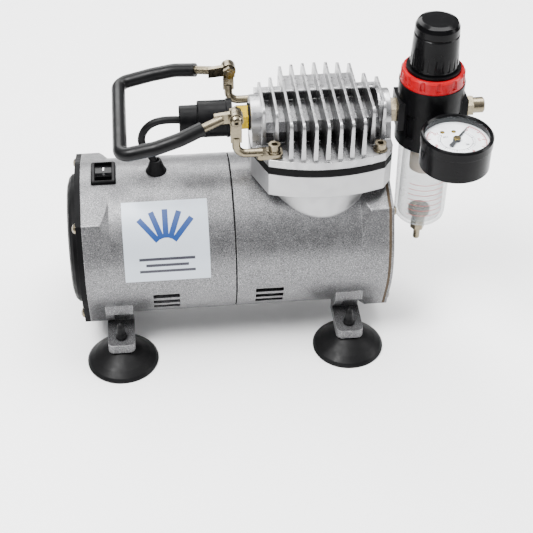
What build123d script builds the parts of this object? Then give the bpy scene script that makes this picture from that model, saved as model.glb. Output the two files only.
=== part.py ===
from build123d import *
import os
from math import cos, pi, radians, sin, tan

# Small oil-free piston compressor for airbrush work.
# A motor drives a crank inside a lying round housing; the crank drives one upright piston
# under a finned head.  The head feeds a pressure switch on one side and a filter regulator
# with a gauge on the other.  A swing handle is pinned to brackets under two head screws.
# Millimetres.  +X runs from the fan end to the air outlet, +Y to the back, +Z up.
# The origin is on the floor, under the centre of the overall box.

# ---- housing ----
SEAM_X = -27.0            # joint plane of the two housing halves
AXIS_Z = 62.2             # motor axis above the floor
BODY_R = 49.4
BLOCK_R = BODY_R + 0.02   # round part of the end blocks, a hair outside the body
WALL = 3.0
BORE_R = BODY_R - WALL
RIM_BORE_R = 43.6         # narrower bore where the end screws bite
SEAM_GAP = 1.0
FAN_END_X = SEAM_X - 92.3
CRANK_END_X = SEAM_X + 94.3
BLOCK = 11.0              # length of each cornered end block
TAPER = 5.5               # cone that runs the corners into the round body
CORNER_R = 54.0           # tip of each corner, from the motor axis
CORNER_TIP_R = 2.2
END_SCREW_R = 48.0        # end screws, from the motor axis
END_SCREW_ANGLE = 45.0

# ---- feet ----
FOOT_XS = (SEAM_X - 73.7, SEAM_X + 71.6)
FOOT_Y = 49.2
TAB_Z = 12.5
TAB_T = 6.1
TAB_W = 17.0
CUP_R = 22.6
NECK_R = 2.1
VENT_H = 3.8

# ---- cylinder, crank and head ----
CYL_X = SEAM_X + 54.6
TRUNK_R = 36.0
FLANGE_Z = 112.0
PLATE_Z = 127.0           # top of the housing flange
PLATE_T = 5.5             # valve plate with its two gaskets
GASKET_T = 0.6
HEAD_Z = PLATE_Z + PLATE_T
HEAD_FLANGE_T = 5.0
HEAD_TOP_Z = HEAD_Z + HEAD_FLANGE_T
FIN_TOP_Z = 162.5
FIN_COUNT = 11
FIN_PITCH = 7.2
FIN_MID_X = SEAM_X + 55.6
FIN_BASE_T = 2.9
FIN_TIP_T = 1.5
SHELF_Z = 150.0
RIDGE_Z = 156.4
PORT_Z = 147.6
HEAD_SCREW_XS = (SEAM_X + 24.7, SEAM_X + 88.3)
HEAD_SCREW_Y = 27.0
HEAD_SHANK_R = 1.95
HEAD_HOLE_R = 2.25
BORE = 19.0               # cylinder bore radius
STROKE = 14.0
ROD_LENGTH = 46.0
PISTON_TOP_Z = 126.0

# ---- handle ----
PIVOT_X = SEAM_X + 2.0
PIVOT_Z = 165.2
STRIP_Y = 29.0
STRIP_T = 3.0
GRIP_R = 4.2
BAR_R = 2.6
GRIP_X = SEAM_X - 65.6

# ---- switches ----
SWITCH_X = SEAM_X - 78.0
SWITCH_SEAT_Z = 110.4
ROCKER_PIVOT_Z = 108.5
ROCKER_TILT = 12.0
GROMMET_X = SEAM_X - 45.5
GROMMET_SEAT_Z = 110.9
LEAD_R = 2.35
GLAND_X = SEAM_X - 76.0
GLAND_BORE_R = 3.3

# ---- regulator, filter and gauge ----
REG_X = SEAM_X + 122.6
REG_R = 20.0
REG_Z = (126.0, 168.0)
THREAD_R = 4.86           # G 1/8 thread, outside
GAUGE_TURN = 8.0          # gauge port turned from straight ahead, degrees
GAUGE_REACH = 46.0
GAUGE_Z = (137.0, 159.3)
GAUGE_R = 20.8
BEZEL_R = 21.3

X_AXIS = (1, 0, 0)
Y_AXIS = (0, 1, 0)
Z_AXIS = (0, 0, 1)
SIDES = (-1, 1)


def plane_along(origin, direction):
    """Plane whose local X runs along direction, for outlines of (distance, radius)."""
    along = Vector(*direction)
    across = Vector(0, 0, 1) if abs(along.Z) < 0.5 else Vector(0, 1, 0)
    return Plane(origin=origin, x_dir=along, z_dir=along.cross(across))


def turned(origin, direction, outline, mode=Mode.ADD):
    """Solid of revolution; outline holds (distance along the axis, radius) corners."""
    with BuildSketch(plane_along(origin, direction)) as profile:
        with BuildLine():
            Polyline(*outline, close=True)
        make_face()
    revolve(profile.sketch, axis=Axis(origin, direction), mode=mode)


def bar(start, end, radius, mode=Mode.ADD):
    """Round bar between two points."""
    run = Vector(*end) - Vector(*start)
    with BuildSketch(Plane(origin=start, z_dir=run)) as profile:
        Circle(radius)
    extrude(profile.sketch, amount=run.length, mode=mode)


def hexagon(start, end, across_flats, mode=Mode.ADD, turn=0.0):
    """Hexagonal prism between two points."""
    run = Vector(*end) - Vector(*start)
    with BuildSketch(Plane(origin=start, z_dir=run)) as profile:
        RegularPolygon(across_flats / 2, 6, major_radius=False, rotation=turn)
    extrude(profile.sketch, amount=run.length, mode=mode)


def block(low, high, mode=Mode.ADD):
    """Box between two opposite corners."""
    size = [h - l for l, h in zip(low, high)]
    middle = tuple((l + h) / 2 for l, h in zip(low, high))
    with Locations(middle):
        Box(*size, mode=mode)


def motor_disc(x0, x1, radius, mode=Mode.ADD):
    """Disc about the motor axis."""
    bar((x0, 0, AXIS_Z), (x1, 0, AXIS_Z), radius, mode)


def motor_ring(x0, x1, outer, inner, mode=Mode.ADD):
    """Ring about the motor axis."""
    turned((x0, 0, AXIS_Z), X_AXIS, [(0, inner), (0, outer), (x1 - x0, outer), (x1 - x0, inner)], mode)


def cornered_plate(x0, thickness, mode=Mode.ADD):
    """Plate with the outline of the housing ends: a circle with four soft corners."""
    with BuildSketch(Plane.YZ.offset(x0)) as profile:
        with Locations((0, AXIS_Z)):
            Circle(BLOCK_R)
            with PolarLocations(CORNER_R - CORNER_TIP_R, 4, start_angle=END_SCREW_ANGLE):
                Circle(CORNER_TIP_R)
        make_hull()
    extrude(profile.sketch, amount=thickness, mode=mode)


def end_screw_points():
    """(y, z) of the four corner screws of a housing end."""
    angles = [radians(END_SCREW_ANGLE + 90 * i) for i in range(4)]
    return [(END_SCREW_R * cos(a), AXIS_Z + END_SCREW_R * sin(a)) for a in angles]


def end_screw_holes(x0, x1, radius):
    """Four holes for the corner screws."""
    for y, z in end_screw_points():
        bar((x0, y, z), (x1, y, z), radius, Mode.SUBTRACT)


def housing_end(end_x, inward):
    """Cornered block and cone of one housing end; inward is +1 or -1 along X."""
    length = BLOCK + TAPER
    cornered_plate(min(end_x, end_x + inward * length), length)
    cone = [(0, 0), (0, CORNER_R), (BLOCK, CORNER_R), (length, BLOCK_R), (length, 0)]
    turned((end_x, 0, AXIS_Z), (inward, 0, 0), cone, Mode.INTERSECT)


def foot_lug(x, side):
    """Cast lug: web and pad on the body side, one gusset and the tab that holds a cup."""
    half = TAB_W / 2
    ys = sorted((side * 27.0, side * 57.0))
    with BuildSketch(Plane.XY.offset(TAB_Z)) as profile:
        with Locations((x, sum(ys) / 2)):
            RectangleRounded(TAB_W, ys[1] - ys[0], 4.0)
    extrude(profile.sketch, amount=TAB_T)
    with BuildSketch(Plane.YZ.offset(x - half)) as web:
        with BuildLine():
            Polyline(
                (side * 27, TAB_Z), (side * 32, TAB_Z), (side * 32, 32), (side * 44.6, 34),
                (side * 45.4, 42), (side * 27, 42), close=True,
            )
        make_face()
    extrude(web.sketch, amount=TAB_W)
    with BuildSketch(Plane.YZ.offset(x - half)) as gusset:
        with BuildLine():
            Polyline(
                (side * 31, TAB_Z + TAB_T - 1), (side * 31, 36), (side * 44, 36), (side * 42, 30),
                (side * 37, 24), close=True,
            )
        make_face()
    extrude(gusset.sketch, amount=4.8)


def vent_slots(x0, x1):
    """Three slots through the wall, on the front and on the back."""
    for z in (37.5, 43.7, 49.8):
        block((x0, -60, z - VENT_H / 2), (x1, 60, z + VENT_H / 2), Mode.SUBTRACT)


def foot_holes(x):
    """Two holes for the necks of the suction cups."""
    for side in SIDES:
        bar((x, side * FOOT_Y, 0), (x, side * FOOT_Y, 30), NECK_R, Mode.SUBTRACT)


def flange_plate(z0, thickness, mode=Mode.ADD):
    """Plate with the outline shared by the head, the valve plate and the housing flange."""
    corner_y, bulge_y = 31.5, 38.0
    left, right = SEAM_X + 21.0, SEAM_X + 91.0
    middle = (left + right) / 2
    with BuildSketch(Plane.XY.offset(z0)) as profile:
        with BuildLine():
            ThreePointArc((left, -corner_y), (middle, -bulge_y), (right, -corner_y))
            Polyline((right, -corner_y), (right + 5.7, -23.0), (right + 5.7, 23.0), (right, corner_y))
            ThreePointArc((right, corner_y), (middle, bulge_y), (left, corner_y))
            Polyline((left, corner_y), (left - 8.5, 10.0), (left - 8.5, -10.0), (left, -corner_y))
        make_face()
    extrude(profile.sketch, amount=thickness, mode=mode)


def head_screw_points():
    """(x, y) of the four head screws."""
    return [(x, side * HEAD_SCREW_Y) for x in HEAD_SCREW_XS for side in SIDES]


def head_screw_holes(z0, z1, radius):
    """Clearance holes for the head screws."""
    for x, y in head_screw_points():
        bar((x, y, z0), (x, y, z1), radius, Mode.SUBTRACT)


def export(piece, name):
    """Label a finished piece and write its STEP file."""
    piece.label = name
    export_step(piece, f"parts/{name}.step")


os.makedirs("parts", exist_ok=True)

# ---------------------------------------------------------------- housings

with BuildPart() as motor_housing:
    housing_end(FAN_END_X, 1)
    motor_disc(FAN_END_X + 2, SEAM_X - SEAM_GAP / 2, BODY_R)
    for side in SIDES:
        foot_lug(FOOT_XS[0], side)
    motor_disc(FAN_END_X + BLOCK, SEAM_X, BORE_R, Mode.SUBTRACT)
    motor_disc(FAN_END_X, FAN_END_X + BLOCK, RIM_BORE_R, Mode.SUBTRACT)
    end_screw_holes(FAN_END_X, FAN_END_X + BLOCK - 1, 1.95)
    foot_holes(FOOT_XS[0])
    vent_slots(SEAM_X - 52.0, SEAM_X - 35.5)
    block((SWITCH_X - 6.5, -9.5, 100), (SWITCH_X + 6.5, 9.5, 120), Mode.SUBTRACT)
    block((SWITCH_X - 7.6, -10.6, SWITCH_SEAT_Z), (SWITCH_X + 7.6, 10.6, 120), Mode.SUBTRACT)
    bar((GROMMET_X, 0, 100), (GROMMET_X, 0, 120), 4.2, Mode.SUBTRACT)
    bar((GROMMET_X, 0, GROMMET_SEAT_Z), (GROMMET_X, 0, 120), 6.5, Mode.SUBTRACT)
    bar((GLAND_X, 40, AXIS_Z), (GLAND_X, 60, AXIS_Z), 6.0, Mode.SUBTRACT)
    bar((GLAND_X, 48.6, AXIS_Z), (GLAND_X, 60, AXIS_Z), 8.3, Mode.SUBTRACT)
export(motor_housing.part, "motor_housing")

BULKHEAD_X = (SEAM_X + 2.0, SEAM_X + 8.0)
with BuildPart() as crank_housing:
    housing_end(CRANK_END_X, -1)
    motor_disc(SEAM_X + SEAM_GAP / 2, CRANK_END_X - 2, BODY_R)
    bar((CYL_X, 0, AXIS_Z), (CYL_X, 0, FLANGE_Z + 1), TRUNK_R)
    flange_plate(FLANGE_Z, PLATE_Z - FLANGE_Z)
    for side in SIDES:
        foot_lug(FOOT_XS[1], side)
    motor_disc(SEAM_X, BULKHEAD_X[0], BORE_R, Mode.SUBTRACT)
    motor_disc(BULKHEAD_X[1], CRANK_END_X - BLOCK, BORE_R, Mode.SUBTRACT)
    motor_disc(CRANK_END_X - BLOCK, CRANK_END_X, RIM_BORE_R, Mode.SUBTRACT)
    motor_disc(BULKHEAD_X[0], SEAM_X + 16.0, 18.0)
    motor_disc(SEAM_X + 6.0, SEAM_X + 17.0, 13.0, Mode.SUBTRACT)
    motor_disc(SEAM_X, SEAM_X + 17.0, 9.0, Mode.SUBTRACT)
    bar((CYL_X, 0, AXIS_Z + 20), (CYL_X, 0, PLATE_Z), 21.5, Mode.SUBTRACT)
    head_screw_holes(PLATE_Z - 12.0, PLATE_Z, HEAD_SHANK_R + 0.1)
    end_screw_holes(CRANK_END_X - BLOCK + 1, CRANK_END_X, 1.95)
    vent_slots(SEAM_X + 12.0, SEAM_X + 29.5)
    foot_holes(FOOT_XS[1])
export(crank_housing.part, "crank_housing")

with BuildPart() as housing_seam_ring:
    motor_ring(SEAM_X - SEAM_GAP / 2, SEAM_X + SEAM_GAP / 2, BODY_R - 0.4, BORE_R)
export(housing_seam_ring.part, "housing_seam_ring")

FRAME_T = 3.5
COVER_BORE_R = 39.6
with BuildPart() as fan_cover_frame:
    cornered_plate(FAN_END_X - FRAME_T, FRAME_T)
    motor_disc(FAN_END_X - 4, FAN_END_X, COVER_BORE_R, Mode.SUBTRACT)
    end_screw_holes(FAN_END_X - 4, FAN_END_X, 2.1)
export(fan_cover_frame.part, "fan_cover_frame")

with BuildPart() as fan_cover:
    dome = [
        (0, 0), (0, 30), (0.4, 35), (1.6, 38.6), (3.4, 40.6), (6.2, 41), (6.2, COVER_BORE_R),
        (9.4, COVER_BORE_R), (9.4, 37.6), (4.4, 37.6), (2.4, 34), (2.0, 0),
    ]
    turned((FAN_END_X - 9.7, 0, AXIS_Z), X_AXIS, dome)
export(fan_cover.part, "fan_cover")

GASKET_X = (CRANK_END_X, CRANK_END_X + 1.8)
COVER_X = (GASKET_X[1], GASKET_X[1] + 1.5)
with BuildPart() as end_cover_gasket:
    cornered_plate(GASKET_X[0], 1.8)
    motor_disc(GASKET_X[0], GASKET_X[1], RIM_BORE_R, Mode.SUBTRACT)
    end_screw_holes(GASKET_X[0], GASKET_X[1], 2.1)
export(end_cover_gasket.part, "end_cover_gasket")

with BuildPart() as end_cover:
    cornered_plate(COVER_X[0], 1.5)
    end_screw_holes(COVER_X[0], COVER_X[1], 2.1)
export(end_cover.part, "end_cover")

with BuildPart() as end_screws:
    screw = [(0, 0), (0, 1.2), (0.9, 2.8), (2.3, 3.4), (2.3, 1.9), (12.5, 1.9), (12.5, 0)]
    for face_x, inward in ((FAN_END_X - FRAME_T, 1), (COVER_X[1], -1)):
        head_x = face_x - inward * 2.3
        for y, z in end_screw_points():
            turned((head_x, y, z), (inward, 0, 0), screw)
            with Locations((head_x, y, z)):
                Box(2.6, 3.6, 0.8, mode=Mode.SUBTRACT)
                Box(2.6, 0.8, 3.6, mode=Mode.SUBTRACT)
export(end_screws.part, "end_screws")

with BuildPart() as suction_cups:
    cup = [
        (0, 20.2), (0, CUP_R), (1.0, CUP_R), (2.6, 21.2), (5.4, 17.4), (8.4, 12.5), (10.7, 8.2), (11.4, 6.6),
        (TAB_Z, 6.4), (TAB_Z, NECK_R), (TAB_Z + TAB_T, NECK_R), (TAB_Z + TAB_T, 3.2), (19.6, 3.65),
        (21.4, 3.4), (23.0, 2.5), (28.2, 2.4), (30.6, 1.5), (31.5, 0), (5.0, 0), (3.8, 8), (1.6, 17),
    ]
    for x in FOOT_XS:
        for side in SIDES:
            turned((x, side * FOOT_Y, 0), Z_AXIS, cup)
export(suction_cups.part, "suction_cups")

LABEL_ANGLES = (2.5, 61.5)
LABEL_X = (SEAM_X - 68.0, SEAM_X - 16.0)
with BuildPart() as name_label:
    with BuildSketch(Plane.YZ.offset(LABEL_X[0])) as sheet:
        with BuildLine():
            low, high = (radians(180 - a) for a in LABEL_ANGLES)
            inner = [(BODY_R * cos(a), AXIS_Z + BODY_R * sin(a)) for a in (low, (low + high) / 2, high)]
            outer_r = BODY_R + 0.2
            outer = [(outer_r * cos(a), AXIS_Z + outer_r * sin(a)) for a in (low, (low + high) / 2, high)]
            ThreePointArc(*inner)
            Line(inner[2], outer[2])
            ThreePointArc(*reversed(outer))
            Line(outer[0], inner[0])
        make_face()
    extrude(sheet.sketch, amount=LABEL_X[1] - LABEL_X[0])
export(name_label.part, "name_label")

# ---------------------------------------------------------------- motor

CORE_X = (SEAM_X - 54.0, SEAM_X - 14.0)
with BuildPart() as stator_core:
    motor_ring(CORE_X[0], CORE_X[1], BORE_R - 0.1, 23.0)
    with BuildSketch(Plane.YZ.offset(CORE_X[0])):
        with Locations((0, AXIS_Z)):
            with PolarLocations(32.5, 12):
                SlotOverall(15.0, 6.0)
    extrude(amount=CORE_X[1] - CORE_X[0], mode=Mode.SUBTRACT)
export(stator_core.part, "stator_core")

with BuildPart() as stator_windings:
    end_turn = [(0, 28), (2, 25.5), (8, 25.5), (9.2, 28), (9.2, 37), (7.5, 40), (1.8, 40), (0, 37)]
    turned((CORE_X[0] - 9.4, 0, AXIS_Z), X_AXIS, end_turn)
    turned((CORE_X[1] + 0.2, 0, AXIS_Z), X_AXIS, end_turn)
export(stator_windings.part, "stator_windings")

SHAFT_R = 5.0
FAN_SHAFT_R = 4.0
with BuildPart() as rotor_core:
    motor_ring(CORE_X[0], CORE_X[1], 22.6, SHAFT_R)
    motor_ring(CORE_X[0] - 4, CORE_X[0], 22.0, 13.0)
    motor_ring(CORE_X[1], CORE_X[1] + 4, 22.0, 13.0)
export(rotor_core.part, "rotor_core")

CRANK_X = (SEAM_X + 40.0, SEAM_X + 46.0)
with BuildPart() as motor_shaft:
    motor_disc(SEAM_X - 91.0, SEAM_X - 62.0, FAN_SHAFT_R)
    motor_disc(SEAM_X - 62.0, CRANK_X[0] + 1.0, SHAFT_R)
export(motor_shaft.part, "motor_shaft")


def sealed_bearing(x0, x1, outer, bore):
    """Sealed bearing about the motor axis: a ring whose faces step in between the two races."""
    land, step, width = (outer - bore) * 0.28, 0.6, x1 - x0
    race = [
        (0, bore), (0, bore + land), (step, bore + land), (step, outer - land), (0, outer - land), (0, outer),
        (width, outer), (width, outer - land), (width - step, outer - land), (width - step, bore + land),
        (width, bore + land), (width, bore),
    ]
    turned((x0, 0, AXIS_Z), X_AXIS, race)


SHIELD_X = SEAM_X - 69.5
with BuildPart() as shaft_bearings:
    sealed_bearing(SHIELD_X, SHIELD_X + 7.0, 11.0, FAN_SHAFT_R + 0.03)
    sealed_bearing(SEAM_X + 8.0, SEAM_X + 16.0, 13.0, SHAFT_R + 0.03)
export(shaft_bearings.part, "shaft_bearings")

with BuildPart() as fan_end_shield:
    motor_disc(SHIELD_X, SHIELD_X + 4.0, BORE_R - 0.1)
    motor_disc(SHIELD_X - 2.0, SHIELD_X + 7.0, 14.5)
    with BuildSketch(Plane.YZ.offset(SHIELD_X)):
        with Locations((0, AXIS_Z)):
            with PolarLocations(30.0, 8):
                SlotOverall(18.0, 12.0)
    extrude(amount=4.0, mode=Mode.SUBTRACT)
    motor_disc(SHIELD_X, SHIELD_X + 7.0, 11.0, Mode.SUBTRACT)
    motor_disc(SHIELD_X - 2.0, SHIELD_X + 7.0, 8.0, Mode.SUBTRACT)
export(fan_end_shield.part, "fan_end_shield")

with BuildPart() as cooling_fan:
    motor_disc(SEAM_X - 90.5, SEAM_X - 80.5, 9.0)
    for i in range(7):
        with Locations(Location((SEAM_X - 85.5, 0, AXIS_Z), (360 / 7 * i, 0, 0))):
            with Locations(Location((0, 17.0, 0), (0, 38, 0))):
                Box(1.6, 18.0, 11.0)
    motor_disc(SEAM_X - 96.0, SEAM_X - 76.0, FAN_SHAFT_R, Mode.SUBTRACT)
export(cooling_fan.part, "cooling_fan")

# ---------------------------------------------------------------- crank and piston

CRANK_THROW = STROKE / 2
PIN_Z = AXIS_Z + CRANK_THROW
WRIST_Z = PIN_Z + ROD_LENGTH
PIN_END_X = CRANK_X[1] + 3.6
ROD_X = (PIN_END_X + 0.4, PIN_END_X + 9.4)
with BuildPart() as crank_disc:
    motor_disc(SEAM_X + 32.0, CRANK_X[1], 9.5)
    with BuildSketch(Plane.YZ.offset(CRANK_X[0])):
        with Locations((0, AXIS_Z)):
            Circle(21.0)
            with Locations((0, 14.0)):
                Rectangle(50.0, 28.0, mode=Mode.SUBTRACT)
    extrude(amount=CRANK_X[1] - CRANK_X[0])
    bar((CRANK_X[0], 0, PIN_Z), (CRANK_X[1], 0, PIN_Z), 7.5)
    bar((CRANK_X[1], 0, PIN_Z), (PIN_END_X, 0, PIN_Z), 4.0)
    motor_disc(SEAM_X + 31.0, CRANK_X[0] + 1.0, SHAFT_R, Mode.SUBTRACT)
export(crank_disc.part, "crank_disc")

WRIST_R = 3.0
with BuildPart() as connecting_rod:
    bar((ROD_X[0], 0, PIN_Z), (ROD_X[1], 0, PIN_Z), 9.5)
    bar((CYL_X - 4.5, 0, WRIST_Z), (CYL_X + 4.5, 0, WRIST_Z), 6.4)
    block((CYL_X - 2.5, -4.5, PIN_Z), (CYL_X + 2.5, 4.5, WRIST_Z))
    bar((ROD_X[0], 0, PIN_Z), (ROD_X[1], 0, PIN_Z), 4.05, Mode.SUBTRACT)
    bar((CYL_X - 5, 0, WRIST_Z), (CYL_X + 5, 0, WRIST_Z), WRIST_R + 0.05, Mode.SUBTRACT)
export(connecting_rod.part, "connecting_rod")

with BuildPart() as wrist_pin:
    bar((CYL_X - 14.5, 0, WRIST_Z), (CYL_X + 14.5, 0, WRIST_Z), WRIST_R)
export(wrist_pin.part, "wrist_pin")

PISTON_R = BORE - 0.1
PISTON_LENGTH = 16.0
SEAL_Z = PISTON_TOP_Z - 4.6
with BuildPart() as piston:
    turned(
        (CYL_X, 0, PISTON_TOP_Z - PISTON_LENGTH), Z_AXIS,
        [
            (0, 15.5), (0, PISTON_R), (PISTON_LENGTH - 4.6, PISTON_R), (PISTON_LENGTH - 4.6, 17.2),
            (PISTON_LENGTH - 2.6, 17.2), (PISTON_LENGTH - 2.6, PISTON_R), (PISTON_LENGTH, PISTON_R),
            (PISTON_LENGTH, 0), (PISTON_LENGTH - 3.4, 0), (PISTON_LENGTH - 3.4, 13.0),
        ],
    )
    for side in SIDES:
        xs = sorted((CYL_X + side * 5.0, CYL_X + side * 15.6))
        block((xs[0], -5.2, WRIST_Z - 5.2), (xs[1], 5.2, PISTON_TOP_Z - 2.0))
    bar((CYL_X - 14.5, 0, WRIST_Z), (CYL_X + 14.5, 0, WRIST_Z), WRIST_R, Mode.SUBTRACT)
export(piston.part, "piston")

with BuildPart() as piston_seal:
    turned((CYL_X, 0, SEAL_Z), Z_AXIS, [(0, 17.2), (0, BORE - 0.04), (2.0, BORE - 0.04), (2.0, 17.2)])
export(piston_seal.part, "piston_seal")

with BuildPart() as cylinder_sleeve:
    turned((CYL_X, 0, AXIS_Z + 29), Z_AXIS, [(0, BORE), (0, 21.5), (35.8, 21.5), (35.8, BORE)])
export(cylinder_sleeve.part, "cylinder_sleeve")

# ---------------------------------------------------------------- head

GASKET_BORE_R = 20.5
with BuildPart() as head_gaskets:
    for z in (PLATE_Z, HEAD_Z - GASKET_T):
        flange_plate(z, GASKET_T)
    bar((CYL_X, 0, PLATE_Z), (CYL_X, 0, HEAD_Z), GASKET_BORE_R, Mode.SUBTRACT)
    head_screw_holes(PLATE_Z, HEAD_Z, HEAD_HOLE_R)
export(head_gaskets.part, "head_gaskets")

VALVE_PLATE_TOP = HEAD_Z - GASKET_T
with BuildPart() as valve_plate:
    flange_plate(PLATE_Z + GASKET_T, PLATE_T - 2 * GASKET_T)
    for i in range(3):
        angle = radians(120 * i)
        x, y = CYL_X + 5 * cos(angle), 5 * sin(angle)
        bar((x, y, PLATE_Z), (x, y, HEAD_Z), 1.6, Mode.SUBTRACT)
    head_screw_holes(PLATE_Z, HEAD_Z, HEAD_HOLE_R)
export(valve_plate.part, "valve_plate")

with BuildPart() as exhaust_reed:
    with BuildSketch(Plane.XY.offset(VALVE_PLATE_TOP)) as strip:
        with Locations((CYL_X, 0)):
            SlotOverall(30.0, 16.0)
    extrude(amount=0.3)
export(exhaust_reed.part, "exhaust_reed")

RIDGE_Y = 12.6
SHELF_Y = (-14.5, 19.5)


def fin_reach(x):
    """Half depth of the fin at x: short beside the screws, else just inside the flange."""
    from_middle = abs(x - FIN_MID_X) / FIN_PITCH
    if from_middle > 4.5:
        return 17.0
    if from_middle > 3.5:
        return 21.6
    return 36.6 - 0.32 * from_middle ** 2


def fin(x):
    """One cast fin, thinner towards its flat top, with rounded top corners."""
    reach = fin_reach(x)
    base, tip = FIN_BASE_T / 2, FIN_TIP_T / 2
    with BuildPart(mode=Mode.PRIVATE) as plate:
        with BuildSketch(Plane.XZ.offset(-reach)):
            with BuildLine():
                Polyline(
                    (x - base, HEAD_TOP_Z - 1), (x - tip, FIN_TOP_Z), (x + tip, FIN_TOP_Z),
                    (x + base, HEAD_TOP_Z - 1), close=True,
                )
            make_face()
        extrude(amount=2 * reach)
        fillet(plate.faces().sort_by(Axis.Z)[-1].edges().filter_by(Axis.X), 3.5)
    return plate.part


def end_boss(x0, x1):
    """Arch-shaped end wall that carries an air port."""
    with BuildSketch(Plane.YZ.offset(x0)) as arch:
        with BuildLine():
            ThreePointArc((-13.4, PORT_Z), (0, PORT_Z + 13.4), (13.4, PORT_Z))
            Polyline((13.4, PORT_Z), (17.0, HEAD_TOP_Z - 1), (-17.0, HEAD_TOP_Z - 1), (-13.4, PORT_Z))
        make_face()
    extrude(arch.sketch, amount=x1 - x0)


HEAD_X = (SEAM_X + 12.5, SEAM_X + 96.7)
fins = [fin(FIN_MID_X + FIN_PITCH * (i - FIN_COUNT // 2)) for i in range(FIN_COUNT)]
with BuildPart() as cylinder_head:
    with BuildSketch(Plane.YZ.offset(HEAD_X[0] + 4)):
        with BuildLine():
            Polyline(
                (SHELF_Y[0], HEAD_TOP_Z - 1), (SHELF_Y[0], SHELF_Z - 5), (SHELF_Y[0] + 4, SHELF_Z),
                (RIDGE_Y, SHELF_Z), (RIDGE_Y, RIDGE_Z), (SHELF_Y[1], RIDGE_Z), (SHELF_Y[1], HEAD_TOP_Z - 1),
                close=True,
            )
        make_face()
    extrude(amount=HEAD_X[1] - HEAD_X[0] - 8)
    fillet(cylinder_head.edges().filter_by(Axis.X).group_by(Axis.Z)[-1], 1.5)
    block((FIN_MID_X - 23.0, 15.0, HEAD_TOP_Z - 1), (FIN_MID_X + 23.0, 31.0, RIDGE_Z - 0.5))
    flange_plate(HEAD_Z, HEAD_FLANGE_T)
    end_boss(HEAD_X[0], HEAD_X[0] + 6.5)
    end_boss(HEAD_X[1] - 7.5, HEAD_X[1])
    add(fins)
    block((CYL_X - 30, -11.5, HEAD_Z - 1), (CYL_X + 30, 16, PORT_Z - 1), Mode.SUBTRACT)
    bar((HEAD_X[0], 0, PORT_Z), (HEAD_X[0] + 6.1, 0, PORT_Z), 4.9, Mode.SUBTRACT)
    bar((HEAD_X[1] - 7.1, 0, PORT_Z), (HEAD_X[1], 0, PORT_Z), 4.9, Mode.SUBTRACT)
    for passage in ((HEAD_X[0], CYL_X - 25), (CYL_X + 25, HEAD_X[1])):
        bar((passage[0], 0, PORT_Z - 2.4), (passage[1], 0, PORT_Z - 2.4), 2.0, Mode.SUBTRACT)
    head_screw_holes(HEAD_Z, HEAD_TOP_Z, HEAD_HOLE_R)
export(cylinder_head.part, "cylinder_head")

TAB_PLATE_T = 3.0
WASHER_T = 1.0
WASHER_R = 4.3
SCREW_HEAD_R = 3.5
SCREW_HEAD_H = 3.9
with BuildPart() as head_screws:
    for x, y in head_screw_points():
        seat = HEAD_TOP_Z + (TAB_PLATE_T if x < CYL_X else 0.0)
        low = seat + WASHER_T
        high = low + SCREW_HEAD_H
        bar((x, y, PLATE_Z - 11.0), (x, y, low), HEAD_SHANK_R)
        bar((x, y, low), (x, y, high), SCREW_HEAD_R)
        hexagon((x, y, low + 1.5), (x, y, high), 3.4, Mode.SUBTRACT)
        bar((x, y, seat), (x, y, low), WASHER_R)
export(head_screws.part, "head_screws")

# ---------------------------------------------------------------- handle

ROD_Z = HEAD_TOP_Z + 3.9
with BuildPart() as handle_brackets:
    for side in SIDES:
        y = side * STRIP_Y
        screw = (HEAD_SCREW_XS[0], side * HEAD_SCREW_Y)
        with BuildSketch(Plane.XZ.offset(-y - STRIP_T / 2)) as strip:
            with Locations((PIVOT_X, PIVOT_Z)):
                Circle(4.3)
            with Locations((PIVOT_X, (PIVOT_Z + 150) / 2)):
                Rectangle(6.6, PIVOT_Z - 150)
        extrude(strip.sketch, amount=STRIP_T)
        with BuildLine() as bend:
            FilletPolyline((PIVOT_X, y, 153), (PIVOT_X, y, ROD_Z), (PIVOT_X + 15.5, y, ROD_Z), radius=6)
        with BuildSketch(Plane(origin=(PIVOT_X, y, 153), z_dir=(0, 0, -1))) as section:
            Circle(2.5)
        sweep(section.sketch, path=bend.line)
        with BuildSketch(Plane.XY.offset(HEAD_TOP_Z)) as tab:
            with Locations((screw[0] - 3.0, side * (HEAD_SCREW_Y + 0.2))):
                RectangleRounded(15.6, 9.0, 2.5)
        extrude(tab.sketch, amount=TAB_PLATE_T)
        bar((*screw, HEAD_TOP_Z), (*screw, HEAD_TOP_Z + TAB_PLATE_T), HEAD_HOLE_R, Mode.SUBTRACT)
        bar((PIVOT_X, y - 3, PIVOT_Z), (PIVOT_X, y + 3, PIVOT_Z), 2.1, Mode.SUBTRACT)
export(handle_brackets.part, "handle_brackets")

EYE_GAP = 0.3
EYE_Y = STRIP_Y - STRIP_T / 2 - EYE_GAP - 1.5       # middle of the flattened bar end
NUT_Y = EYE_Y - 1.5 - EYE_GAP
with BuildPart() as handle_pivot_screws:
    for side in SIDES:
        outer = side * (STRIP_Y + STRIP_T / 2)
        button = [(0, 0), (0, 3.7), (0.8, 3.7), (2.0, 2.8), (2.5, 1.6), (2.5, 0)]
        turned((PIVOT_X, outer, PIVOT_Z), (0, side, 0), button)
        bar((PIVOT_X, outer, PIVOT_Z), (PIVOT_X, side * (NUT_Y - 4.0), PIVOT_Z), 2.0)
        socket = outer + side * 2.5
        hexagon((PIVOT_X, socket - side * 1.4, PIVOT_Z), (PIVOT_X, socket, PIVOT_Z), 2.5, Mode.SUBTRACT)
        hexagon((PIVOT_X, side * (NUT_Y - 3.2), PIVOT_Z), (PIVOT_X, side * NUT_Y, PIVOT_Z), 7.0)
export(handle_pivot_screws.part, "handle_pivot_screws")

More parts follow.
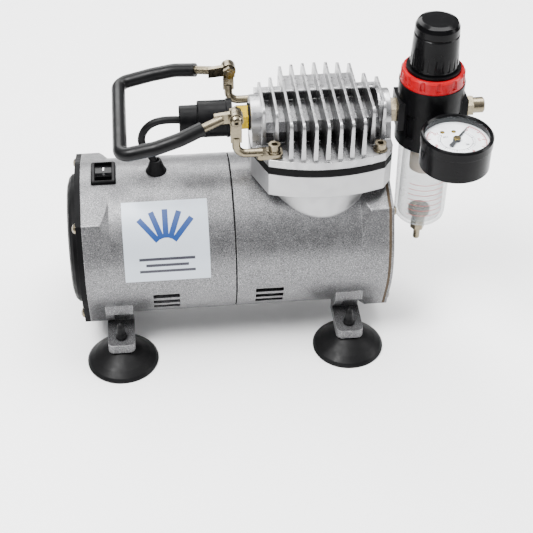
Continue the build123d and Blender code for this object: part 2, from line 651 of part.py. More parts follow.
ARM = [
    (PIVOT_X - 8.0, EYE_Y + 1.2, 164.3), (SEAM_X - 17.8, 32.2, 162.2), (SEAM_X - 31.0, 37.8, 159.3),
    (SEAM_X - 45.0, 39.8, 155.6), (GRIP_X, 38.9, 150.9),
]
GRIP_START = 1            # the sleeve covers the bar from this point of the arm on
CORNER_BEND = 6.5


def swept_bar(first, radius, mode=Mode.ADD):
    """Round bar or sleeve from one arm over the grip to the other, starting at this arm point."""
    back = ARM[first:]
    points = back + [(x, -y, z) for x, y, z in reversed(back)]
    soft = [20.0] * (len(back) - 2)
    with BuildLine() as path:
        FilletPolyline(*points, radius=soft + [CORNER_BEND] * 2 + soft)
    with BuildSketch(Plane(origin=points[0], z_dir=Vector(*points[1]) - Vector(*points[0]))) as section:
        Circle(radius)
    sweep(section.sketch, path=path.line, mode=mode)


with BuildPart() as handle_bar:
    swept_bar(0, BAR_R)
    for side in SIDES:
        y = side * EYE_Y
        with BuildSketch(Plane.XZ.offset(-y - 1.5)) as eye:
            with Locations((PIVOT_X, PIVOT_Z)):
                Circle(4.4)
            with BuildLine():
                Polyline(
                    (PIVOT_X, PIVOT_Z - 3.4), (PIVOT_X, PIVOT_Z + 3.4), (PIVOT_X - 12.5, PIVOT_Z + 1.6),
                    (PIVOT_X - 12.5, PIVOT_Z - 4.4), close=True,
                )
            make_face()
        extrude(eye.sketch, amount=3.0)
        bar((PIVOT_X, y - 3, PIVOT_Z), (PIVOT_X, y + 3, PIVOT_Z), 2.06, Mode.SUBTRACT)
export(handle_bar.part, "handle_bar")

with BuildPart() as handle_grip:
    swept_bar(GRIP_START, GRIP_R)
    swept_bar(GRIP_START, BAR_R, Mode.SUBTRACT)
export(handle_grip.part, "handle_grip")

# ---------------------------------------------------------------- pressure switch and lead

FITTING_X = SEAM_X + 4.5
SWITCH_END_X = SEAM_X + 1.8
with BuildPart() as brass_fitting:
    hexagon((FITTING_X, 0, PORT_Z), (HEAD_X[0] - 1.2, 0, PORT_Z), 14.0)
    bar((SWITCH_END_X - 2.5, 0, PORT_Z), (FITTING_X, 0, PORT_Z), 5.5)
    bar((HEAD_X[0] - 1.2, 0, PORT_Z), (HEAD_X[0] + 6.0, 0, PORT_Z), 4.86)
    bar((SWITCH_END_X - 3.0, 0, PORT_Z), (HEAD_X[0] + 6.0, 0, PORT_Z), 2.0, Mode.SUBTRACT)
export(brass_fitting.part, "brass_fitting")

with BuildPart() as fitting_washer:
    turned((HEAD_X[0] - 1.2, 0, PORT_Z), X_AXIS, [(0, 4.9), (0, 8.2), (1.2, 8.2), (1.2, 4.9)])
export(fitting_washer.part, "fitting_washer")

CAP_X = (SEAM_X - 30.0, SEAM_X - 19.0)
with BuildPart() as pressure_switch_body:
    shell = [(0, 0), (0, 10.6), (0.5, 11.1), (17.0, 11.1), (17.3, 11.7), (20.8, 11.7), (20.8, 0)]
    turned((CAP_X[1], 0, PORT_Z), X_AXIS, shell)
    bar((CAP_X[1], 0, PORT_Z), (CAP_X[1] + 16.0, 0, PORT_Z), 7.5, Mode.SUBTRACT)
    bar((SWITCH_END_X - 2.5, 0, PORT_Z), (SWITCH_END_X, 0, PORT_Z), 5.5, Mode.SUBTRACT)
export(pressure_switch_body.part, "pressure_switch_body")

with BuildPart() as pressure_switch_cap:
    cap = [
        (0, 2.4), (0, 8.2), (0.6, 8.8), (11.0, 8.8), (11.0, 7.4), (13.0, 7.4), (13.0, 5.4), (2.0, 5.4),
        (2.0, 2.4),
    ]
    turned((CAP_X[0], 0, PORT_Z), X_AXIS, cap)
export(pressure_switch_cap.part, "pressure_switch_cap")

with BuildPart() as lead_grommet:
    cone = [
        (0, 2.4), (0, 4.15), (2.1, 4.15), (2.1, 6.3), (3.3, 6.3), (5.3, 5.2), (10.2, 3.7), (10.8, 3.3),
        (10.8, 2.4),
    ]
    turned((GROMMET_X, 0, GROMMET_SEAT_Z - 2.1), Z_AXIS, cone)
export(lead_grommet.part, "lead_grommet")

# Lead between the pressure switch and the housing, held at both ends.
LEAD = [
    (CAP_X[0] + 2.0, 0, PORT_Z), (SEAM_X - 38.5, 0, PORT_Z + 1.2), (SEAM_X - 48.6, 0, PORT_Z - 2.0),
    (SEAM_X - 54.0, 0, PORT_Z - 11.0), (SEAM_X - 51.8, 0, PORT_Z - 20.5), (GROMMET_X, 0, PORT_Z - 28.0),
    (GROMMET_X, 0, 109.0),
]


def corner_radii(points):
    """Bend radius at each inner point: 0.45 of the shorter run over tan(half the turn)."""
    corners = [Vector(*point) for point in points]
    runs = [b - a for a, b in zip(corners, corners[1:])]
    turns = [radians(a.get_angle(b)) for a, b in zip(runs, runs[1:])]
    return [0.45 * min(a.length, b.length) / tan(t / 2) for a, b, t in zip(runs, runs[1:], turns)]


lead_radii = corner_radii(LEAD)
lead_path = FilletPolyline(*LEAD, radius=lead_radii)
with BuildPart() as switch_lead:
    with BuildSketch(Plane(origin=LEAD[0], z_dir=Vector(*LEAD[1]) - Vector(*LEAD[0]))) as section:
        Circle(LEAD_R)
    sweep(section.sketch, path=lead_path)
export(switch_lead.part, "switch_lead")
print("lead radii", [round(r, 1) for r in lead_radii], "length", round(lead_path.length, 1))
lead_section = pi * LEAD_R ** 2
print("lead volume", round(switch_lead.part.volume), "and", round(lead_section * lead_path.length))

with BuildPart() as mains_gland:
    gland = [
        (0, GLAND_BORE_R), (0, 5.9), (3.6, 5.9), (3.6, 8.0), (6.4, 8.0), (7.2, 7.0), (18.0, 5.0),
        (18.6, 4.4), (18.6, GLAND_BORE_R),
    ]
    turned((GLAND_X, 45.0, AXIS_Z), Y_AXIS, gland)
export(mains_gland.part, "mains_gland")

# ---------------------------------------------------------------- power switch

BEZEL_TOP_Z = SWITCH_SEAT_Z + 2.6
with BuildPart() as switch_frame:
    block((SWITCH_X - 7.5, -10.5, SWITCH_SEAT_Z), (SWITCH_X + 7.5, 10.5, BEZEL_TOP_Z))
    fillet(switch_frame.edges().filter_by(Axis.Z), 1.0)
    chamfer(switch_frame.faces().sort_by(Axis.Z)[-1].edges(), 0.6)
    block((SWITCH_X - 6.4, -9.4, 94.0), (SWITCH_X + 6.4, 9.4, SWITCH_SEAT_Z))
    block((SWITCH_X - 5.35, -9.25, SWITCH_SEAT_Z - 2.4), (SWITCH_X + 5.35, 9.25, BEZEL_TOP_Z), Mode.SUBTRACT)
    block((SWITCH_X - 5.35, -8.3, 96.0), (SWITCH_X + 5.35, 8.3, BEZEL_TOP_Z), Mode.SUBTRACT)
    bar((SWITCH_X - 6.1, 0, ROCKER_PIVOT_Z), (SWITCH_X + 6.1, 0, ROCKER_PIVOT_Z), 1.06, Mode.SUBTRACT)
    for y in (-6.0, 0.0, 6.0):
        block((SWITCH_X - 2.4, y - 0.4, 90.0), (SWITCH_X + 2.4, y + 0.4, 94.5))
export(switch_frame.part, "switch_frame")

tilt = radians(-ROCKER_TILT)
rocker_outline = [(-8.1, 4.4), (0, 2.9), (8.1, 4.4), (7.6, 1.6), (5.6, -3.0), (-5.6, -3.0), (-7.6, 1.6)]
with BuildPart() as switch_rocker:
    with BuildSketch(Plane.YZ.offset(SWITCH_X - 5.15)):
        with BuildLine():
            Polyline(
                *[
                    (y * cos(tilt) - z * sin(tilt), ROCKER_PIVOT_Z + y * sin(tilt) + z * cos(tilt))
                    for y, z in rocker_outline
                ],
                close=True,
            )
        make_face()
    extrude(amount=10.3)
    bar((SWITCH_X - 6.0, 0, ROCKER_PIVOT_Z), (SWITCH_X + 6.0, 0, ROCKER_PIVOT_Z), 1.0)
export(switch_rocker.part, "switch_rocker")

# ---------------------------------------------------------------- filter regulator

BOSS_X = (REG_X - 21.1, REG_X + 21.4)
with BuildPart() as inlet_nipple:
    hexagon((HEAD_X[1] + 0.6, 0, PORT_Z), (BOSS_X[0], 0, PORT_Z), 14.0)
    bar((HEAD_X[1] - 7.0, 0, PORT_Z), (BOSS_X[0] + 7.0, 0, PORT_Z), THREAD_R)
    bar((HEAD_X[1] - 8.0, 0, PORT_Z), (BOSS_X[0] + 8.0, 0, PORT_Z), 2.5, Mode.SUBTRACT)
export(inlet_nipple.part, "inlet_nipple")

gauge_angle = radians(-90 + GAUGE_TURN)
GAUGE_DIR = (cos(gauge_angle), sin(gauge_angle), 0)


def gauge_point(distance, z=PORT_Z):
    """Point on the gauge port's line, at this distance from the regulator axis."""
    return (REG_X + distance * GAUGE_DIR[0], distance * GAUGE_DIR[1], z)


with BuildPart() as regulator_body:
    bar((REG_X, 0, REG_Z[0]), (REG_X, 0, REG_Z[1]), REG_R)
    block((BOSS_X[0], -10, PORT_Z - 9.5), (BOSS_X[1], 10, PORT_Z + 9.5))
    bar(gauge_point(10), gauge_point(22.5), 7.5)
    for azimuth in (43, 137, 223, 317):
        away = (cos(radians(azimuth)), sin(radians(azimuth)), 0)
        along = (-away[1], away[0], 0)
        wall = Plane(origin=(REG_X, 0, 142.5), x_dir=along, z_dir=away).offset(17.8)
        with BuildSketch(wall) as recess:
            RectangleRounded(5.4, 17.0, 1.0)
        extrude(recess.sketch, amount=6.0, mode=Mode.SUBTRACT)
    chamfer(regulator_body.edges().filter_by(GeomType.CIRCLE).sort_by(Axis.Z)[0], 0.8)
    bar((REG_X, 0, REG_Z[0]), (REG_X, 0, REG_Z[0] + 8.0), 15.6, Mode.SUBTRACT)
    bar((REG_X, 0, REG_Z[0]), (REG_X, 0, REG_Z[1] - 8), 6.0, Mode.SUBTRACT)
    bar((REG_X, 0, REG_Z[1] - 8.0), (REG_X, 0, REG_Z[1]), 15.2, Mode.SUBTRACT)
    bar((BOSS_X[0], 0, PORT_Z), (BOSS_X[0] + 8, 0, PORT_Z), 4.9, Mode.SUBTRACT)
    bar((BOSS_X[1] - 8, 0, PORT_Z), (BOSS_X[1], 0, PORT_Z), 4.9, Mode.SUBTRACT)
    bar((BOSS_X[0], 0, PORT_Z), (BOSS_X[1], 0, PORT_Z), 2.5, Mode.SUBTRACT)
    bar(gauge_point(14), gauge_point(22.5), 4.9, Mode.SUBTRACT)
export(regulator_body.part, "regulator_body")

with BuildPart() as diaphragm:
    turned(
        (REG_X, 0, REG_Z[1] - 8.0), Z_AXIS,
        [(0, 0), (0, 15.1), (1.4, 15.1), (1.4, 11.0), (2.6, 11.0), (2.6, 6.0), (1.4, 6.0), (1.4, 0)],
    )
export(diaphragm.part, "diaphragm")

SCREW_R = 3.9
SPRING_Z = (REG_Z[1] - 5.3, REG_Z[1] + 5.0)
with BuildPart() as regulator_bonnet:
    turned(
        (REG_X, 0, REG_Z[1] - 6.5), Z_AXIS,
        [
            (0, 11.8), (0, 15.1), (6.5, 15.1), (6.5, 16.4), (16.4, 16.4), (16.4, 12.6), (29.0, 12.6),
            (29.0, SCREW_R + 0.06), (26.0, SCREW_R + 0.06), (26.0, 10.9), (2.0, 10.9),
        ],
    )
export(regulator_bonnet.part, "regulator_bonnet")

with BuildPart() as lock_ring:
    turned((REG_X, 0, REG_Z[1]), Z_AXIS, [(0, 16.5), (0, 19.5), (6.8, 19.2), (8.0, 18.2), (8.0, 16.5)])
    with BuildSketch(Plane.XY.offset(REG_Z[1] + 1.6)):
        with Locations((REG_X, 0)):
            with PolarLocations(20.4, 12):
                Circle(2.0)
    extrude(amount=8.0, mode=Mode.SUBTRACT)
export(lock_ring.part, "lock_ring")

KNOB_Z = (REG_Z[1] + 10.6, 208.0)
with BuildPart() as regulator_knob:
    turned(
        (REG_X, 0, KNOB_Z[0]), Z_AXIS,
        [
            (0, 12.95), (0, 14.65), (20.6, 13.5), (21.2, 13.0), (22.0, 13.4), (26.0, 13.2), (28.4, 12.0),
            (29.4, 9.6), (29.4, 0), (24.4, 0), (24.4, 6.3), (12.4, 6.3), (12.4, 12.95),
        ],
    )
    with BuildSketch(Plane.XY.offset(KNOB_Z[0] + 1.2)):
        with Locations((REG_X, 0)):
            with PolarLocations(14.9, 22):
                Rectangle(1.6, 1.5)
    extrude(amount=19.0, mode=Mode.SUBTRACT)
export(regulator_knob.part, "regulator_knob")

with BuildPart() as adjusting_screw:
    bar((REG_X, 0, SPRING_Z[0] + 2.0), (REG_X, 0, 191.2), SCREW_R)
    hexagon((REG_X, 0, 191.2), (REG_X, 0, 196.8), 10.4)
export(adjusting_screw.part, "adjusting_screw")

SEAT_T = 2.4
with BuildPart() as spring_seat:
    turned(
        (REG_X, 0, SPRING_Z[1]), Z_AXIS,
        [(0, SCREW_R + 0.06), (0, 10.4), (SEAT_T, 10.4), (SEAT_T, SCREW_R + 0.06)],
    )
export(spring_seat.part, "spring_seat")

WIRE_R = 0.7
with BuildPart() as range_spring:
    coil = Helix(pitch=2.2, height=SPRING_Z[1] - SPRING_Z[0] - 2 * WIRE_R - 0.2, radius=8.6,
                 center=(REG_X, 0, SPRING_Z[0] + WIRE_R + 0.1))
    with BuildSketch(Plane(origin=coil @ 0, z_dir=coil % 0)) as wire:
        Circle(WIRE_R)
    sweep(wire.sketch, path=coil)
export(range_spring.part, "range_spring")

with BuildPart() as outlet_fitting:
    hexagon((BOSS_X[1], 0, PORT_Z), (BOSS_X[1] + 4.8, 0, PORT_Z), 11.5)
    bar((BOSS_X[1] - 7.0, 0, PORT_Z), (BOSS_X[1] + 12.0, 0, PORT_Z), THREAD_R)
    chamfer(outlet_fitting.edges().filter_by(GeomType.CIRCLE).sort_by(Axis.X)[-1], 0.6)
    bar((BOSS_X[1] - 7.0, 0, PORT_Z), (BOSS_X[1] + 12.0, 0, PORT_Z), 2.5, Mode.SUBTRACT)
export(outlet_fitting.part, "outlet_fitting")

# ---------------------------------------------------------------- filter

BOWL_Z = 66.0
with BuildPart() as filter_bowl:
    turned(
        (REG_X, 0, BOWL_Z), Z_AXIS,
        [
            (0, 4.0), (0, 11.5), (1.0, 14.2), (3.2, 15.8), (6.0, 16.3), (59.7, 16.9), (59.7, 15.5),
            (67.0, 15.5), (67.0, 13.6), (59.7, 13.6), (6.0, 14.2), (3.6, 13.6), (1.8, 11.8), (1.8, 4.0),
        ],
    )
export(filter_bowl.part, "filter_bowl")

with BuildPart() as filter_element:
    turned(
        (REG_X, 0, REG_Z[0] - 22.0), Z_AXIS,
        [(0, 0), (0, 9.0), (19.0, 9.0), (19.0, 5.9), (30.0, 5.9), (30.0, 3.0), (4.0, 3.0), (4.0, 0)],
    )
export(filter_element.part, "filter_element")

NUT_Z = (BOWL_Z - 11.0, BOWL_Z - 4.0)
NOZZLE_R = 2.15
STEM_R = 1.8
with BuildPart() as drain_seat:
    turned(
        (REG_X, 0, NUT_Z[1]), Z_AXIS,
        [(0, 0), (0, 4.0), (5.8, 4.0), (5.8, 7.0), (9.4, 7.0), (9.4, 4.2), (7.0, STEM_R), (7.0, 0)],
    )
    hexagon((REG_X, 0, NUT_Z[0]), (REG_X, 0, NUT_Z[1]), 8.0)
    bar((REG_X, 0, NUT_Z[0]), (REG_X, 0, NUT_Z[0] + 3.6), NOZZLE_R + 0.15, Mode.SUBTRACT)
    bar((REG_X, 0, NUT_Z[0]), (REG_X, 0, BOWL_Z + 8.0), STEM_R + 0.08, Mode.SUBTRACT)
export(drain_seat.part, "drain_seat")

NOZZLE_Z = (46.3, NUT_Z[0] - 0.2)
with BuildPart() as drain_valve:
    turned(
        (REG_X, 0, 0), Z_AXIS,
        [
            (NOZZLE_Z[0], 1.0), (NOZZLE_Z[0], 1.7), (NOZZLE_Z[0] + 0.6, NOZZLE_R), (NOZZLE_Z[1], NOZZLE_R),
            (NOZZLE_Z[1], STEM_R), (BOWL_Z + 2.8, STEM_R), (BOWL_Z + 2.8, 0), (BOWL_Z - 2, 0),
            (BOWL_Z - 2, 1.0),
        ],
    )
export(drain_valve.part, "drain_valve")

# ---------------------------------------------------------------- gauge

with BuildPart() as gauge_stem:
    bar(gauge_point(15.0), gauge_point(22.6), THREAD_R)
    hexagon(gauge_point(22.5), gauge_point(GAUGE_REACH - GAUGE_R + 0.2), 11.0)
    bar(gauge_point(24.0), gauge_point(31.0), 4.0)
    bar(gauge_point(14.0), gauge_point(30.0), 1.5, Mode.SUBTRACT)
export(gauge_stem.part, "gauge_stem")

GAUGE = gauge_point(GAUGE_REACH, GAUGE_Z[0])
GAUGE_H = GAUGE_Z[1] - GAUGE_Z[0]
LIP_R = 18.7
with BuildPart() as gauge_case:
    turned(
        GAUGE, Z_AXIS,
        [
            (0, 0), (0, 19.2), (1.2, GAUGE_R), (16.0, GAUGE_R), (16.2, BEZEL_R), (GAUGE_H - 1.2, BEZEL_R),
            (GAUGE_H - 0.2, BEZEL_R - 0.8), (GAUGE_H, BEZEL_R - 1.6), (GAUGE_H - 1.2, LIP_R),
            (GAUGE_H - 1.2, 19.4), (2.0, 19.4), (2.0, 0),
        ],
    )
    bar(gauge_point(24.0), gauge_point(31.0), 4.05, Mode.SUBTRACT)
    bar(gauge_point(20.0), gauge_point(GAUGE_REACH - GAUGE_R + 0.2), 6.4, Mode.SUBTRACT)
export(gauge_case.part, "gauge_case")

DIAL_Z = GAUGE_Z[1] - 5.4
with BuildPart() as gauge_dial:
    bar((*GAUGE[:2], DIAL_Z - 0.8), (*GAUGE[:2], DIAL_Z), 19.3)
    bar((*GAUGE[:2], DIAL_Z - 0.8), (*GAUGE[:2], DIAL_Z), 0.9, Mode.SUBTRACT)
export(gauge_dial.part, "gauge_dial")

NEEDLE_ZERO = 45.0 + GAUGE_TURN
with BuildPart() as gauge_needle:
    towards = (cos(radians(NEEDLE_ZERO)), sin(radians(NEEDLE_ZERO)), 0)
    with BuildSketch(Plane(origin=(*GAUGE[:2], DIAL_Z + 0.9), x_dir=towards)):
        with BuildLine():
            Polyline((-8.0, -1.3), (-8.0, 1.3), (0, 0.9), (14.2, 0.15), (14.2, -0.15), (0, -0.9), close=True)
        make_face()
    extrude(amount=0.4)
    bar((*GAUGE[:2], DIAL_Z + 0.3), (*GAUGE[:2], DIAL_Z + 1.8), 2.3)
    bar((*GAUGE[:2], DIAL_Z - 2.4), (*GAUGE[:2], DIAL_Z + 0.4), 0.8)
export(gauge_needle.part, "gauge_needle")

with BuildPart() as gauge_lens:
    bar((*GAUGE[:2], GAUGE_Z[1] - 2.6), (*GAUGE[:2], GAUGE_Z[1] - 1.25), 19.3)
export(gauge_lens.part, "gauge_lens")
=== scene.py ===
"""Airbrush compressor: looks, small printed and soft pieces, light and camera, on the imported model."""
from math import cos, pi, radians, sin

import bpy
from mathutils import Matrix, Vector


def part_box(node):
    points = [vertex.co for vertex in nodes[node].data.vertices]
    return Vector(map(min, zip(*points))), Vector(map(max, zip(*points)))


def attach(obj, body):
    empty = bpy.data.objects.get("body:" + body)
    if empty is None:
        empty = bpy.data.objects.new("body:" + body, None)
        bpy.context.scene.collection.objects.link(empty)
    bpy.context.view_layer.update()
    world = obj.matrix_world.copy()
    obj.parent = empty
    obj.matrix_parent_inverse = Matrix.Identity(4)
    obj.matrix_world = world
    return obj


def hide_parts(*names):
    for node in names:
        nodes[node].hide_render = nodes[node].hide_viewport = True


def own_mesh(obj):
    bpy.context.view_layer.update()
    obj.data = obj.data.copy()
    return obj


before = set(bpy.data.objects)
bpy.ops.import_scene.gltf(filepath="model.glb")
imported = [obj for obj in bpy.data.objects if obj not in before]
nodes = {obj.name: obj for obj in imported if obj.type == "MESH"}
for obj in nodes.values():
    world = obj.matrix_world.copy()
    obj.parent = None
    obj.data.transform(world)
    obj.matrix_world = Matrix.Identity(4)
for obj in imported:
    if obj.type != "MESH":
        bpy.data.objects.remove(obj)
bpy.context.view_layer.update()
MM = 0.001
SEAM_X = -27.0
CYL_X = SEAM_X + 54.6
PORT_Z = 147.6
AXIS_Z = 62.2
PRINT_THICK = 0.04
PRINT_GAP = 0.02


# ---- camera ----

IMAGE_SIDE = 533
FOCAL_PIXELS = 1284.6
CAMERA_AT = (-0.0734, -0.6470, 0.5785)
PITCH, YAW, ROLL = 40.21, 6.17, 0.49

camera_data = bpy.data.cameras.new("camera")
camera_data.sensor_width = 36
camera_data.lens = FOCAL_PIXELS * camera_data.sensor_width / IMAGE_SIDE
camera = bpy.data.objects.new("camera", camera_data)
turn = Matrix.Rotation(radians(-YAW), 4, "Z") @ Matrix.Rotation(radians(90 - PITCH), 4, "X")
camera.matrix_world = Matrix.Translation(CAMERA_AT) @ turn @ Matrix.Rotation(radians(ROLL), 4, "Z")
bpy.context.scene.collection.objects.link(camera)
bpy.context.scene.camera = camera

# ---- materials ----


TRUNK_EDGE = (36.2, 36.6)
TRUNK_FOOT = (80.0, 81.0)
FLANGE_FOOT = (111.4, 111.9)


class Finish:
    """One procedural material, built up step by step on a Principled shader."""

    def __init__(self, name, roughness, metallic=0.0, **sockets):
        self.material = bpy.data.materials.new(name)
        self.material.use_nodes = True
        self.tree = self.material.node_tree
        self.shader = self.tree.nodes["Principled BSDF"]
        self.shader.inputs["Roughness"].default_value = roughness
        self.shader.inputs["Metallic"].default_value = metallic
        for socket, value in sockets.items():
            self.shader.inputs[socket.replace("_", " ")].default_value = value
        self.place = self.node("ShaderNodeTexCoord").outputs["Object"]
        self.normal = None

    def node(self, kind, settings=None, **inputs):
        """Adds a node; inputs are numbers, tuples or output sockets."""
        made = self.tree.nodes.new(kind)
        for key, value in (settings or {}).items():
            setattr(made, key, value)
        for key, value in inputs.items():
            socket = made.inputs[key.replace("_", " ")]
            if isinstance(value, bpy.types.NodeSocket):
                self.tree.links.new(value, socket)
            else:
                socket.default_value = value
        return made

    def noise(self, size, detail=3.0, stretch=(1, 1, 1)):
        """Noise whose spots are about this many millimetres across."""
        place = self.place
        if stretch != (1, 1, 1):
            place = self.node("ShaderNodeMapping", Vector=place, Scale=stretch).outputs[0]
        made = self.node("ShaderNodeTexNoise", Vector=place, Scale=1 / (size * MM), Detail=detail)
        return made.outputs[0]

    def remap(self, value, low, high, to_low, to_high):
        """Value brought from one range to another, clamped."""
        made = self.node(
            "ShaderNodeMapRange", Value=value, From_Min=low, From_Max=high, To_Min=to_low, To_Max=to_high
        )
        return made.outputs[0]

    def mix(self, factor, first, second):
        """Colour between first and second."""
        made = self.tree.nodes.new("ShaderNodeMix")
        made.data_type = "RGBA"
        for index, value in ((0, factor), (6, first), (7, second)):
            if isinstance(value, bpy.types.NodeSocket):
                self.tree.links.new(value, made.inputs[index])
            elif index == 0:
                made.inputs[0].default_value = value
            else:
                made.inputs[index].default_value = (*value, 1)
        return made.outputs[2]

    def tone(self, color, spread, size, stretch=(1, 1, 1)):
        """Base colour with soft patches a little darker and lighter."""
        dark = tuple(c * (1 - spread) for c in color)
        light = tuple(min(1, c * (1 + spread)) for c in color)
        factor = self.remap(self.noise(size, 4.0, stretch), 0.3, 0.7, 0, 1)
        self.color = self.mix(factor, dark, light)
        return self

    def speckle(self, color, size, amount):
        """Fine grains of another colour."""
        grains = self.remap(self.noise(size, 2.0), 0.5, 0.72, 0, amount)
        self.color = self.mix(grains, self.color, color)
        return self

    def uneven(self, low, high, size):
        """Roughness that wanders between two values."""
        value = self.remap(self.noise(size, 5.0), 0.3, 0.7, low, high)
        self.tree.links.new(value, self.shader.inputs["Roughness"])
        return self

    def bump(self, size, height, detail=3.0, strength=1.0):
        """Surface grain of this size and height in millimetres."""
        made = self.node(
            "ShaderNodeBump", Height=self.noise(size, detail), Distance=height * MM, Strength=strength
        )
        if self.normal:
            self.tree.links.new(self.normal, made.inputs["Normal"])
        self.normal = made.outputs[0]
        return self

    def soft_edges(self, radius, worn, amount):
        """Rounds sharp edges in the light and rubs them paler in patches; comes before any bump."""
        self.normal = self.node("ShaderNodeBevel", {"samples": 4}, Radius=radius * MM).outputs[0]
        flat = self.node("ShaderNodeNewGeometry").outputs["Normal"]
        away = self.node("ShaderNodeVectorMath", {"operation": "DOT_PRODUCT"})
        self.tree.links.new(self.normal, away.inputs[0])
        self.tree.links.new(flat, away.inputs[1])
        edge = self.remap(away.outputs["Value"], 0.97, 0.78, 0, amount)
        broken = self.remap(self.noise(4.0, 6.0), 0.42, 0.6, 0.25, 1)
        self.color = self.mix(self.math("MULTIPLY", edge, broken), self.color, worn)
        return self

    def grime(self, color, reach, amount, open_at=0.75):
        """Painted shade: colour darkened deep in corners and recesses, where ambient occlusion finds little
        open light.
        """
        shade = self.node("ShaderNodeAmbientOcclusion", {"samples": 6}, Distance=reach * MM).outputs["AO"]
        self.color = self.mix(self.remap(shade, open_at, 0.2, 0, amount), self.color, color)
        return self

    def math(self, operation, first, second):
        """One arithmetic step on two values."""
        made = self.tree.nodes.new("ShaderNodeMath")
        made.operation = operation
        for socket, value in zip(made.inputs, (first, second)):
            if isinstance(value, bpy.types.NodeSocket):
                self.tree.links.new(value, socket)
            else:
                socket.default_value = value
        return made.outputs[0]

    def trunk_mask(self):
        """1 on the round trunk under the head and on its flange, 0 on the rest of the housing."""
        centre = (-CYL_X * MM, 0, 0)
        flat = self.node("ShaderNodeMapping", Vector=self.place, Location=centre, Scale=(1, 1, 0))
        radius = self.node("ShaderNodeVectorMath", {"operation": "LENGTH"}, Vector=flat.outputs[0])
        height = self.node("ShaderNodeSeparateXYZ", Vector=self.place).outputs["Z"]
        near = self.remap(radius.outputs["Value"], *(edge * MM for edge in TRUNK_EDGE), 1, 0)
        above = self.remap(height, *(edge * MM for edge in TRUNK_FOOT), 0, 1)
        flange = self.remap(height, *(edge * MM for edge in FLANGE_FOOT), 0, 1)
        return self.math("MAXIMUM", self.math("MULTIPLY", near, above), flange)

    def done(self):
        """Links the colour and normal and gives the material."""
        self.tree.links.new(self.color, self.shader.inputs["Base Color"])
        if self.normal:
            self.tree.links.new(self.normal, self.shader.inputs["Normal"])
        return self.material


def hammered_paint(name, smooth_trunk=False):
    """Silver paint with a fine sandy grain; smooth_trunk makes the trunk and its flange smooth."""
    paint = Finish(name, 0.4, 0.75)
    paint.tone((0.12, 0.12, 0.123), 0.08, 18)
    paint.speckle((0.03, 0.03, 0.032), 0.7, 0.85)
    paint.speckle((0.50, 0.50, 0.51), 0.55, 0.5)
    grain = 1.0
    if smooth_trunk:
        mask = paint.trunk_mask()
        paint.color = paint.mix(mask, paint.color, (0.36, 0.36, 0.365))
        grain = paint.math("SUBTRACT", 1.0, mask)
    paint.soft_edges(0.7, (0.62, 0.62, 0.62), 0.65)
    # painted shade: the paint is darkened in corners and creases
    paint.grime((0.03, 0.029, 0.028), 5, 0.5, 0.6)
    paint.uneven(0.30, 0.46, 6)
    paint.bump(0.8, 0.09, 2.0, strength=grain)
    return paint.done()


def bright_casting():
    """Bare aluminium casting with satin grain, painted shade deep down in its recesses, and bright at the
    edges.
    """
    metal = Finish("bright_casting", 0.3, 0.9)
    metal.tone((0.33, 0.33, 0.335), 0.18, 9, stretch=(1, 1, 0.35))
    # painted shade: the recesses between the fins go nearly black
    metal.grime((0.016, 0.016, 0.017), 12, 0.85, 0.48)
    metal.soft_edges(0.6, (0.95, 0.95, 0.95), 0.85)
    metal.uneven(0.22, 0.42, 3)
    metal.bump(1.1, 0.05)
    return metal.done()


def turned_metal(name, color, roughness=0.28, spread=0.12):
    """Machined or plated metal with fine marks."""
    metal = Finish(name, roughness, 1.0)
    metal.tone(color, spread, 5)
    # painted shade: darker colour in the corners of the metal parts
    metal.grime(tuple(c * 0.22 for c in color), 2.5, 0.7)
    metal.soft_edges(0.35, tuple(min(1, c * 1.25) for c in color), 0.6)
    metal.uneven(roughness - 0.08, roughness + 0.12, 2)
    metal.bump(0.5, 0.012)
    return metal.done()


def moulded(name, color, roughness, grain=0.02, grain_size=0.5, worn=0.12, specular=0.10):
    """Moulded plastic or rubber with a fine grain, its edges rubbed lighter."""
    plastic = Finish(name, roughness, 0.0, Specular_IOR_Level=specular)
    plastic.tone(color, 0.18, 12)
    plastic.soft_edges(0.4, tuple(c + worn for c in color), 0.45)
    plastic.uneven(max(0.05, roughness - 0.07), roughness + 0.1, 5)
    plastic.bump(grain_size, grain)
    return plastic.done()


def black_paint():
    """Smooth satin black paint."""
    paint = Finish("black_paint", 0.5, 0.0, Specular_IOR_Level=0.05)
    paint.tone((0.003, 0.003, 0.0033), 0.2, 15)
    paint.soft_edges(0.5, (0.04, 0.04, 0.04), 0.4)
    paint.uneven(0.42, 0.58, 7)
    paint.bump(1.2, 0.02)
    return paint.done()


def clear_plastic(name, tint, alpha, edge_alpha):
    """Clear window or bowl: mostly see-through, denser towards its outline."""
    clear = Finish(name, 0.06, 0.0, IOR=1.5)
    clear.tone(tint, 0.03, 10)
    facing = clear.node("ShaderNodeLayerWeight", Blend=0.35).outputs["Facing"]
    opacity = clear.remap(facing, 0.3, 0.95, alpha, edge_alpha)
    clear.tree.links.new(opacity, clear.shader.inputs["Alpha"])
    clear.uneven(0.04, 0.12, 6)
    clear.bump(5.0, 0.01)
    return clear.done()


def fibre(name, color):
    """Pressed fibre or sintered grains."""
    pressed = Finish(name, 0.8)
    pressed.tone(color, 0.25, 1.5)
    pressed.speckle(tuple(c * 0.5 for c in color), 0.4, 0.6)
    pressed.bump(0.5, 0.06)
    return pressed.done()


def copper():
    """Varnished enamelled wire, wound round the motor axis."""
    wire = Finish("copper_wire", 0.35, 0.9)
    wire.tone((0.62, 0.27, 0.12), 0.3, 0.8)
    wire.bump(0.7, 0.15)
    return wire.done()


def label_foil():
    """Pale printed foil of the name label."""
    foil = Finish("label_foil", 0.35, 0.15)
    foil.tone((0.47, 0.52, 0.58), 0.03, 25)
    foil.soft_edges(0.1, (0.85, 0.86, 0.88), 0.5)
    foil.uneven(0.3, 0.42, 9)
    foil.bump(1.5, 0.01)
    return foil.done()


